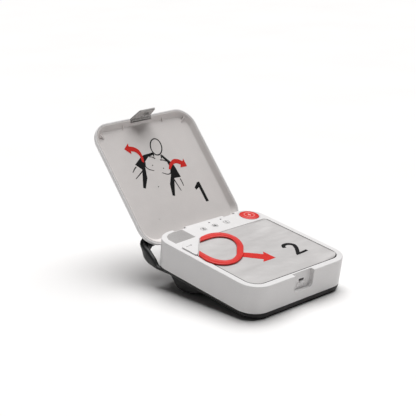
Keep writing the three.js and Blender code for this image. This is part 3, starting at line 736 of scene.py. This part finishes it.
def sliced_sheet(name, outline, pitch, lift, thickness):
    """A thin closed sheet over the film: the outline cut into small cells that follow the film's level."""
    sheet = bmesh.new()
    sheet.faces.new([sheet.verts.new((x, y, 0)) for x, y in outline])
    xs, ys = [x for x, _ in outline], [y for _, y in outline]
    for axis, values in (((1, 0, 0), xs), ((0, 1, 0), ys)):
        for value in slices(min(values), max(values), pitch):
            geometry = sheet.verts[:] + sheet.edges[:] + sheet.faces[:]
            bmesh.ops.bisect_plane(sheet, geom=geometry, plane_co=Vector(axis) * value, plane_no=axis)
    for vertex in sheet.verts:
        vertex.co.z = film_height(vertex.co.x, vertex.co.y) + lift
    bmesh.ops.recalc_face_normals(sheet, faces=sheet.faces[:])
    if sum(face.normal.z for face in sheet.faces) < 0:
        bmesh.ops.reverse_faces(sheet, faces=sheet.faces[:])
    mesh = bpy.data.meshes.new(name)
    sheet.to_mesh(mesh)
    sheet.free()
    obj = in_scene(name, mesh)
    solid = obj.modifiers.new("thickness", "SOLIDIFY")
    solid.thickness = thickness * MM
    solid.offset = -1
    return obj


def film_outline():
    """The window's outline, a little smaller at the front, without the corner under the connector."""
    kept = []
    outline = window_outline(FILM.gap)
    for i, (x, y) in enumerate(outline):
        before = outline[i - 1]
        here, there = y - x - FILM.line, before[1] - before[0] - FILM.line
        if here * there < 0:
            share = there / (there - here)
            kept.append((before[0] + (x - before[0]) * share, before[1] + (y - before[1]) * share))
        if here < 0:
            kept.append((x, y))
    tucked = FILM.gap - FILM.back_gap
    return [(x, y + tucked if y > 0 else y) for x, y in kept]


def from_root(u, v):
    """A spot on the deck, given along the pull loop's root line and away from it."""
    half = math.sqrt(0.5)
    return (PULL_ROOT[0] + (u + v) * half, PULL_ROOT[1] + (u - v) * half)


def film_and_prints():
    film = sliced_sheet("film_cover", film_outline(), 2.6, 0, FILM.thickness)
    place_piece(film, "case", silver, "foil", "foil_cover")
    axis, stem_start, stem_end, tip = -12.8, 69, 103.5, 123
    arrow = [(axis + 8.6, stem_start), (axis + 9.9, stem_end), (axis + 19.8, stem_end - 0.6), (axis, tip)]
    arrow += [(2 * axis - u, v) for u, v in reversed(arrow[:3])]
    place_print("film_arrow", [[from_root(u, v) for u, v in arrow]], red_ink, "red_plastic")
    place_print("film_step_2", two_outlines(38.9, -62.4), black_ink, "black_plastic")


def place_print(name, outlines, look, slot):
    sheets = [sliced_sheet(name, outline, 1.9, PRINT.lift, PRINT.thickness) for outline in outlines]
    for sheet in sheets[1:]:
        sheet.name = f"{name}_foot"
    for sheet in sheets:
        place_piece(sheet, "case", look, slot)


def two_outlines(left, bottom):
    """The digit 2: a hooked stroke that runs down to a foot."""
    middle = Vector((left + 13.4, bottom + 29.4))
    turns = [math.radians(172 - 18 * i) for i in range(11)]
    hook = [middle + Vector((math.cos(turn), math.sin(turn))) * 10 for turn in turns]
    run = through([hook[-1], middle + Vector((4.6, -11.6)), (left + 4.4, bottom + 1.2)], 6)
    foot = [(left, bottom), (left + 26.8, bottom), (left + 26.8, bottom + 5.2), (left + 3, bottom + 5.2)]
    return [stroke(hook + run[1:], 6.8), foot]


CONNECTOR = [(-54.2, 70.8), (-67, 72.8), (-86.5, 73.6), (-104.2, 57.2), (-104.4, 24.2), (-99.5, 25.5)]


def connector():
    top, bottom = 49.4, 47.3
    cap = slab("connector_cap", CONNECTOR, bottom, top)
    plug = block("plug", -90.5, -80, 46, 56.5, 40.3, bottom + 0.2)
    join(cap, plug)
    place_piece(cap, "connector", white, "white_shell", "electrode_connector", edge=0.7, rounds=4)
    tail, head = Vector((-98.5, 54.3)), Vector((-87.5, 55.2))
    shaft = stroke([tail, head], 1.1)
    point = [(head.x - 0.4, head.y - 2.2), (head.x + 3, head.y + 0.2), (head.x - 0.4, head.y + 2.4)]
    marks = [slab("mark", outline, top - 0.1, top + 0.08) for outline in (shaft, point)]
    place_piece(joined("connector_mark", marks), "connector", faint_ink, "grey_plastic")


LOOP_OUTER = [(35.5, 0), (51, 12), (59.5, 26), (61, 38), (56, 50.5), (43, 62.5), (21, 70.2), (0, 70.8)]
LOOP_INNER = [(17.5, 0), (30, 11), (41, 23.5), (45.3, 36), (43.3, 46), (35, 54.3), (18.5, 59.6), (0, 60)]


def mirrored(half):
    other = [(-u, v) for u, v in half[:-1]]
    return through(half + other[::-1], 7)


def pull_loop():
    """The red loop: rounded rails along both edges of a slightly hollow band."""
    outer, inner = mirrored(LOOP_OUTER), mirrored(LOOP_INNER)
    rows = len(inner)
    outer = [outer[round(i * (len(outer) - 1) / (rows - 1))] for i in range(rows)]
    section = [(0, 47.35), (0, 48.9), (0.03, 49.5), (0.09, 49.85), (0.18, 49.9), (0.27, 49.6), (0.4, 49.35)]
    section += [(1 - share, z) for share, z in reversed(section)]
    rings = []
    for out, ins in zip(outer, inner):
        across = [out.lerp(ins, share) for share, _ in section]
        rings.append([(*from_root(*spot), z) for spot, (_, z) in zip(across, section)])
    loop = loft("pull_loop_band", rings)
    place_piece(loop, "pull_loop", red, "red_plastic", "pull_handle", edge=0.35)


# ---- lid, drawn closed

LID_CROWN = [(0, 47.3), (0.5, 52.5), (1.15, 54.5), (2.2, 56), (3.6, 57.4)]
LID_CROWN += [(5.4, 58.6), (7.4, 59.5), (10, 60.2), (17, 61)]
LID_HOLLOW = [(2.4, 46.3), (2.9, 52.3), (4.6, 54.8), (7.8, 57), (12, 58.3), (18, 58.7)]


def latch_notch(back):
    return block("latch_notch", -LID.notch, LID.notch, -120, back, 40, LID.notch_top)


def arm_rooms(back, top):
    half = HINGE.arm_half + GAP
    return [block("arm_room", x - half, x + half, 112.9, back, LID.rim - 3, top) for x in HINGES]


def lid_shell():
    shell = layered("lid_cover", [(lid_outline(inset), z) for inset, z in LID_CROWN])
    hollow = layered("lid_hollow", [(lid_outline(inset), z) for inset, z in LID_HOLLOW])
    cut(shell, hollow)
    cut(shell, latch_notch(-108), *arm_rooms(118.6, LID.rim + 1))
    place_piece(shell, "lid", white, "white_shell", "lid_shell", where=LID_FRAME, edge=0.4)


GUSSETS = [(-41, -109.5, 0), (49, -109.5, 0), (-96.5, -97.5, -45), (96.5, -97.5, 45)]
GUSSET_SIDE = [(0, 49.4), (3.5, 50.6), (11.5, 54.9), (11.5, 55.8), (7.4, 55.8), (0, 51.6)]


def gusset(x, y, turn):
    plate = side_slab("gusset", GUSSET_SIDE, -0.9, 0.9)
    plate.data.transform(Matrix.Translation((x, y, 0)) @ Matrix.Rotation(math.radians(turn), 4, "Z"))
    return plate


def lid_liner():
    levels = [(2.9, LID.rim + GAP), (3.6, 50), (9.5, 55.5), (12.8, 57.1)]
    liner = layered("lid_lining", [(lid_outline(inset), z) for inset, z in levels])
    slope = [(3.5, 46.3), (5.2, 48.3), (10.4, 54), (11.6, 54.9), (13.2, DISH)]
    cut(liner, layered("dish", [(lid_outline(inset), z) for inset, z in slope]))
    join(liner, *[gusset(*place) for place in GUSSETS])
    dimple = post("dimple", -58, 74, 1.6, 54, DISH + 0.6, 24)
    cut(liner, latch_notch(-106.6), dimple, *arm_rooms(116, LID.rim + 5))
    place_piece(liner, "lid", lid_grey, "lid_inner", "lid_liner", where=LID_FRAME, edge=0.35)


def lid_latch():
    half, tip, back = LATCH.top_half, LATCH.tip_half, LATCH.back
    face = [(-tip, LATCH.tip), (tip, LATCH.tip), (tip + 1.6, LATCH.tip + 2), (half, 46), (half, LATCH.top)]
    face += [(-half, LATCH.top), (-half, 46), (-tip - 1.6, LATCH.tip + 2)]
    tab = front_slab("latch_tab", face, back - 2.3, back + 0.1)
    barrel = rod("barrel", LATCH.y, LATCH.z, 1.9, -half, half)
    hook = block("hook", SLOT.left + 1, SLOT.right - 1, back, back + 4.6, SLOT.bottom + 0.5, SLOT.top - 0.6)
    ridge = block("tip_ridge", -tip + 2, tip - 2, back, back + 0.6, LATCH.tip + 0.6, LATCH.tip + 1.8)
    teeth = [block("tooth", x - 0.8, x + 0.8, back, back + 1, 42.6, 45) for x in range(-16, 17, 8)]
    join(tab, barrel, hook, ridge, *teeth)
    cut(tab, rod("bore", LATCH.y, LATCH.z, 1.15, -30, 30, 20))
    place_piece(tab, "latch", latch_grey, "grey_plastic", "lid_latch", where=LID_FRAME, edge=0.35)


# ---- prints inside the lid
# The figure is a plain pictogram: an oval head with no face, an opened jacket and two arrows. It is drawn
# about its own middle line, as (distance to the right, height), then leaned over and put on the lid.

FIGURE = Sizes(x=-1, y=-38, lean=math.radians(27.1), middle=3, line=2.1)
HALF_JACKET = [(8, 7), (17, 1.5), (27, -4), (33, -9), (45.5, -29), (32, -35), (31.5, -71), (26.5, -71.5)]
HALF_JACKET += [(22.5, -50), (25.5, -30), (25.5, -17), (19, -6), (9, 1)]
HALF_ARROW = [(24.5, -20), (27, -8), (34, 2.5), (44, 5.8), (54, 4.6), (55.6, 10.2), (63, -3.5), (49, -9.6)]
HALF_ARROW += [(49.8, -3.8), (41, -3.4), (33, -9), (28.8, -19)]


def on_lid(right, up):
    """A spot of the figure on the closed lid, whose picture's top points to the lid's front edge."""
    c, s = math.cos(FIGURE.lean), math.sin(FIGURE.lean)
    return (FIGURE.x + right * c + up * s, FIGURE.y + right * s - up * c)


def lid_print(name, outlines, look, slot, raise_by=0.0):
    layers = [slab("ink", outline, DISH - 0.16 - raise_by, DISH + 0.05) for outline in outlines]
    place_piece(joined(name, layers), "lid", look, slot, where=LID_FRAME)


def placed(outlines):
    """The figure's outlines on the lid, in reverse order because on_lid mirrors them."""
    return [[on_lid(right, up) for right, up in outline][::-1] for outline in outlines]


def figure_lines():
    middle = FIGURE.middle
    turns = [2 * math.pi * i / 40 for i in range(41)]
    head = [(1 + 11.6 * math.cos(turn), 19.4 + 16.4 * math.sin(turn)) for turn in turns]
    lines = [stroke(head, FIGURE.line)]
    for sign in SIDES:
        halves = (
            ([(7, 5.5), (7.6, 1), (8, -2)], 1),
            ([(5, -5.6), (11, -4.2), (17, -5.2)], 0.5),
            ([(25.6, -19), (25, -27), (18, -31), (8, -30.6)], 0.5),
            ([(44, -33), (47.5, -39), (50.5, -46)], 0.6),
            ([(31.5, -38), (38, -47.5), (45, -57)], 0.6),
        )
        for points, tip in halves:
            curve = through([(middle + sign * d, up) for d, up in points], 5)
            lines.append(stroke(curve, FIGURE.line, tip))
        lines.append([(middle + sign * 11 + dx, up - 21) for dx, up in circle(0, 0, 1.1, 16)])
    lines.append(circle(middle - 1, -61, 1.0, 16))
    return lines


def lid_prints():
    jacket = []
    arrows = []
    for sign in SIDES:
        jacket.append([(FIGURE.middle + sign * d, up) for d, up in HALF_JACKET][::sign])
        arrow = through(HALF_ARROW[:5], 5) + HALF_ARROW[5:8] + through(HALF_ARROW[8:], 5)
        arrows.append([(sign * d, up) for d, up in arrow][::-sign])
    lid_print("figure_jacket", placed(jacket), black_ink, "black_plastic")
    lid_print("figure_lines", placed(figure_lines()), black_ink, "black_plastic", 0.01)
    lid_print("figure_arrows", placed(arrows), red_ink, "red_plastic", 0.06)
    one = [(62.6, 27), (57.6, 27), (46.8, 35.6), (48.2, 40.2), (56.3, 36.6), (56.3, 65.8), (62.6, 65.8)]
    lid_print("lid_step_1", [one], black_ink, "black_plastic")


# ---- base, feet, handle


def gasket():
    seal = cut(slab("case_seal", case_outline(1.1), -1.5, 0), slab("seal_hole", case_outline(4.2), -3, 2))
    place_piece(seal, "case", rubber, "rubber", "case_gasket", edge=0.3)


BULGE_SIDE = [(-8, -9.3), (-5, -11.4), (19, -22.4), (42, -31.2), (58, -34.6)]
BULGE_SIDE += [(71, -33.4), (79, -30), (99, -11.4), (100, -9.3)]
BULGE_ENDS = [(0, 0.08), (0.5, 0.045), (1.5, 0.025), (3, 0.008), (5, 0)]  # distance in, share drawn in
BULGE_MIDDLE = (50, -12)


def bulge(name, half_width, drop=0.0, inset=0.0):
    """The wedge under the back of the base, its ends rounded."""
    shifts = (inset, 0, 0.4 * inset, 0.2 * inset, 0, 0, -0.7 * inset, -inset, -inset)
    side = [(y + shift, z) for (y, z), shift in zip(BULGE_SIDE, shifts)]
    side = side[:1] + through(side[1:4], 5) + through(side[4:7], 5) + through(side[7:], 2)
    middle_y, middle_z = BULGE_MIDDLE
    ends = [(depth - half_width, share) for depth, share in BULGE_ENDS]
    ends += [(-x, share) for x, share in reversed(ends)]
    rings = []
    for x, share in ends:
        ring_y = [y + (middle_y - y) * share for y, _ in side]
        ring_z = [z + (middle_z - z) * share * 1.6 + drop + inset for _, z in side]
        rings.append([(x, y, z) for y, z in zip(ring_y, ring_z)])
    return loft(name, rings)


BASE_CURVE = [(9, 4.2, -9.3), (7.4, 2.9, -8.8), (6, 2, -7.8), (4.2, 1.5, -6.4), (2.6, 1.3, -5)]
BASE_CURVE += [(1.2, 1.2, -1.8)]
BASE_ROOM = [(11, 6, -6.9), (6, 4, -4.5), (4, 4, 0)]


def base_levels(name, rows):
    """A solid from rows of (inset at the sides and back, inset at the front, z)."""
    return layered(name, [(base_outline(side, front), z) for side, front, z in rows])


def base_room():
    """The room inside the wedge, under the roof over the battery bay."""
    roof = block("roof", -BAY.half_width - 5, BAY.half_width + 5, 0, 94, BAY.top, BASE.floor + 1)
    room = cut(bulge("wedge_room", BULGE_HALF - BASE.wall, 0, BASE.wall), roof)
    return common(room, block("below_roof", -FAR, FAR, -FAR, FAR, -60, BAY.top + 0.6))


def base_tray():
    tray = base_levels("base_shell", BASE_CURVE)
    join(tray, bulge("wedge", BULGE_HALF))
    bay = block("bay", -BAY.half_width, BAY.half_width, 60, 110, BAY.bottom, BAY.top)
    catch = block("catch_room", -CATCH_ROOM, CATCH_ROOM, 84, 91.2, BAY.top - 1, BAY.top + 1.4)
    cut(tray, base_levels("inside", BASE_ROOM), base_room(), bay, catch, handle_body("handle_room", GAP))
    places = [(x, y) for x in (-SCREW.x, SCREW.x) for y in (SCREW.front, SCREW.back)]
    cut(tray, *[post("screw_well", x, y, SCREW.well, -20, SCREW.head + 2, 32) for x, y in places])
    place_piece(tray, "case", black, "black_plastic", "base_tray", edge=0.5)


def floor_cut():
    """Everything below the floor, which cuts the feet level."""
    floor = block("floor_cut", -FAR, FAR, -FAR, FAR, -40, 0)
    floor.data.transform(Matrix.Translation(FLOOR_POINT) @ Matrix.Rotation(-lean, 4, "X"))
    return floor


def feet():
    strip = slab("front_foot_pad", rounded_rectangle(-84, 84, -111.2, -99.5, 5, 10), -20, BASE.floor - GAP)
    cut(strip, floor_cut())
    place_piece(strip, "case", rubber, "rubber", "front_foot", edge=0.4)
    for side, left in (("left", -84), ("right", 58)):
        pad = slab(f"rear_foot_pad_{side}", rounded_rectangle(left, left + 26, 47, 67, 5, 10), -50, -30)
        cut(pad, bulge("foot_seat", BULGE_HALF, -GAP), floor_cut())
        place_piece(pad, "case", rubber, "rubber", f"rear_foot_{side}", edge=0.4)


ARM = [
    (-104, 76, -5.2, 2.6, 4),
    (-107, 92, -5.1, 3, 4),
    (-108.8, 105.5, -5, 3.1, 4),
    (-108.3, 116, -1, 7.4, 4.6),
    (-107.6, 128, 3, 10, 5.4),
    (-105.6, 140, 8.6, 10.8, 6),
    (-99.4, 149.6, 13.6, 11, 6.6),
    (-87, 155.4, 17.2, 10.8, 7),
]
BAR_LEAN = -open_angle - math.pi / 2  # the bar's tall side runs along the open lid


def handle_ring(centre, tangent, bar_lean, half, width, sides=28):
    """A rounded section across the handle's path, whose tall side leans back at the bar."""
    tall = Vector((0, math.sin(bar_lean), math.cos(bar_lean)))
    tall = (tall - tangent * tall.dot(tangent)).normalized()
    wide = tangent.cross(tall)
    points = []
    for side in range(sides):
        angle = 2 * math.pi * side / sides
        c, s = math.cos(angle), math.sin(angle)
        squared = [math.copysign(abs(value) ** 0.75, value) for value in (c, s)]
        points.append(centre + tall * half * squared[0] + wide * width * squared[1])
    return points


def handle_stations():
    """Rows along the handle's left half: x, y, z, half height, half width and lean."""
    rows = []
    for i, (x, y, z, half, width) in enumerate(ARM):
        rows.append((x, y, z, half, width, BAR_LEAN * smooth((i - 3) / (len(ARM) - 4))))
    rows.append((-BAR.straight, BAR.y, BAR.z, BAR.along, BAR.across, BAR_LEAN))
    return rows


def between(rows):
    """The rows of numbers with smooth steps added between them."""
    places = through([row[:3] for row in rows], 3)
    others = through([row[3:] for row in rows], 3)
    return [(*place, *other) for place, other in zip(places, others)]


def handle_body(name, margin):
    left = between(handle_stations())
    right = [(-row[0], *row[1:]) for row in reversed(left)]
    rows = left + right
    rings = []
    for i, (x, y, z, half, width, bar_lean) in enumerate(rows):
        before, after = rows[max(i - 1, 0)], rows[min(i + 1, len(rows) - 1)]
        tangent = (Vector(after[:3]) - Vector(before[:3])).normalized()
        rings.append(handle_ring(Vector((x, y, z)), tangent, bar_lean, half + margin, width + margin))
    return loft(name, rings)


def bar_ring(x, depth):
    """A section across the straight bar, smaller than its full size by a depth."""
    centre = Vector((x, BAR.y, BAR.z))
    return handle_ring(centre, Vector((1, 0, 0)), BAR_LEAN, BAR.along - depth, BAR.across - depth)


def bar_length(name, half_length, depth):
    return loft(name, [bar_ring(x, depth) for x in (-half_length, half_length)])


def carry_handle():
    handle = handle_body("handle_frame", 0)
    core = bar_length("core", GRIP.half_length + 5, GRIP.thickness)
    cut(handle, cut(bar_length("band", GRIP.half_length + GAP, -2), core))
    place_piece(handle, "case", handle_black, "black_plastic", "carry_handle", edge=0.3)


def handle_grip():
    """A rubber sleeve with shallow rings."""
    steps = 4 * GRIP.ridges
    rings = []
    for i in range(steps + 1):
        depth = 0.0 if i % 4 < 2 else 0.45
        rings.append(bar_ring(-GRIP.half_length + 2 * GRIP.half_length * i / steps, depth))
    core = bar_length("core", GRIP.half_length + 5, GRIP.thickness - GAP)
    sleeve = cut(loft("grip_sleeve", rings), core)
    place_piece(sleeve, "case", rubber, "rubber", "handle_grip")


# ---- battery


def battery_pack():
    half = BAY.half_width - 0.5
    top, bottom = BAY.top - 0.4, BAY.bottom + 0.4
    side = [(31, top), (31, -23.4), (50, bottom), (76.6, bottom), (95.2, top)]
    pack = side_slab("battery_case", side, -half, half)
    room = block("catch_room", -CATCH_ROOM, CATCH_ROOM, 84, 100, BAY.top - 9, BAY.top + 2)
    cut(pack, room, grooves(40, 5, 0.6, 52, 75, BAY.bottom - 1, BAY.bottom + 1))
    place_piece(pack, "battery", black, "black_plastic", "battery_pack", edge=0.6)


def grooves(reach, pitch, half, front, back, bottom, top):
    """Equal grooves side by side, out to a reach on both sides of the middle."""
    places = range(-reach, reach + 1, pitch)
    return joined("grooves", [block("one", x - half, x + half, front, back, bottom, top) for x in places])


def battery_latch():
    top = BAY.top
    side = [(84.4, top - 6), (88.6, top - 6), (94.4, top - 0.6), (90.8, top - 0.6)]
    side += [(90.8, top + 1), (88.8, top + 1), (88.8, top - 0.6), (84.4, top - 0.6)]
    slider = side_slab("battery_slider", side, -CATCH_HALF, CATCH_HALF)
    cut(slider, grooves(8, 2, 0.4, 84, 96, top - 7, top - 5.4))
    place_piece(slider, "battery_catch", mid_grey, "grey_plastic", "battery_latch", edge=0.25)


# ---- frame pieces that keep their shape

KEPT = {
    steel: "latch_pin hinge_pin_left hinge_pin_right lid_magnet processor_shield",
    mid_grey: "hinge_arm_left hinge_arm_right hinge_bracket_left hinge_bracket_right",
    aluminium: "shock_capacitor switching_module",
    copper: "charge_transformer discharge_inductor battery_contacts",
    circuit: "main_board button_board",
    component: "speaker_driver shock_switch left_switch middle_switch right_switch lid_sensor",
    # The electrode tray is made black so that the gap round the film's edge looks dark: painted shade in
    # that gap
    black: "electrode_tray",
    gel: "electrode_pad_left electrode_pad_right",
    cable: "pad_lead ribbon_cable",
}
KEPT[component] += " connector_socket"
KEPT[steel] += " front_screw_left front_screw_right back_screw_left back_screw_right"


def dress_kept_nodes():
    """Gives the frame's own meshes their material and slightly rounded edges."""
    for look, names in KEPT.items():
        for name in names.split():
            node = frame["nodes"][name]
            node.data.materials.clear()
            node.data.materials.append(look)
            round_edges(node, 0.2, 2, 40)


# ---- camera, floor and light

CAMERA = Sizes(place=(-1315.27, -1177.73, 846.33), azimuth=-43.49, elevation=16.79, roll=-0.68, lens=102.83)


def add_camera():
    data = bpy.data.cameras.new("camera")
    data.lens = CAMERA.lens
    camera = in_scene("camera", data)
    bpy.context.scene.camera = camera
    azimuth, elevation = math.radians(CAMERA.azimuth), math.radians(CAMERA.elevation)
    level = math.cos(elevation)
    view = Vector((-math.sin(azimuth) * level, math.cos(azimuth) * level, -math.sin(elevation)))
    camera.location = CASE_FRAME @ Vector(CAMERA.place)
    camera.rotation_mode = "QUATERNION"
    turn = view.to_track_quat("-Z", "Y")
    camera.rotation_quaternion = turn @ Matrix.Rotation(math.radians(CAMERA.roll), 3, "Z").to_quaternion()


def add_floor():
    half = 12
    corners = [(-half, -half, 0), (half, -half, 0), (half, half, 0), (-half, half, 0)]
    floor = mesh_object("studio_floor", corners, [(0, 1, 2, 3)])
    look = Look("studio_paper")
    tones = [(0.3, (0.875, 0.865, 0.86)), (0.7, (0.895, 0.885, 0.88))]
    look.wear("Base Color", look.ramp(look.noise(3), tones))
    look.roughness(0.85, 0.95, 40)
    floor.data.materials.append(look.material)


SUN = Sizes(towards=(0.25, 0.12, 1.0), spread=60, strength=3.6)


def add_sun():
    """A very soft light from far away, which lights the floor evenly."""
    data = bpy.data.lights.new("overhead", "SUN")
    data.angle = math.radians(SUN.spread)
    data.energy = SUN.strength
    light = in_scene("overhead", data)
    light.rotation_mode = "QUATERNION"
    light.rotation_quaternion = (-Vector(SUN.towards)).to_track_quat("-Z", "Y")


def add_fill():
    """A faint even light from all round."""
    world = bpy.data.worlds.new("studio")
    world.use_nodes = True
    background = world.node_tree.nodes["Background"]
    background.inputs["Color"].default_value = (1.0, 0.985, 0.975, 1)
    background.inputs["Strength"].default_value = 0.06
    bpy.context.scene.world = world
    bpy.context.scene.view_settings.view_transform = "Standard"


# ---- build

add_camera()
add_floor()
add_fill()
add_sun()

upper_case()
recess_lip()
latch_strike()
speaker_grille()
small_buttons()
status_windows()
shock_button()
shock_bezel()
film_and_prints()
connector()
pull_loop()
lid_shell()
lid_liner()
lid_latch()
lid_prints()
gasket()
base_tray()
feet()
carry_handle()
handle_grip()
battery_pack()
battery_latch()
dress_kept_nodes()
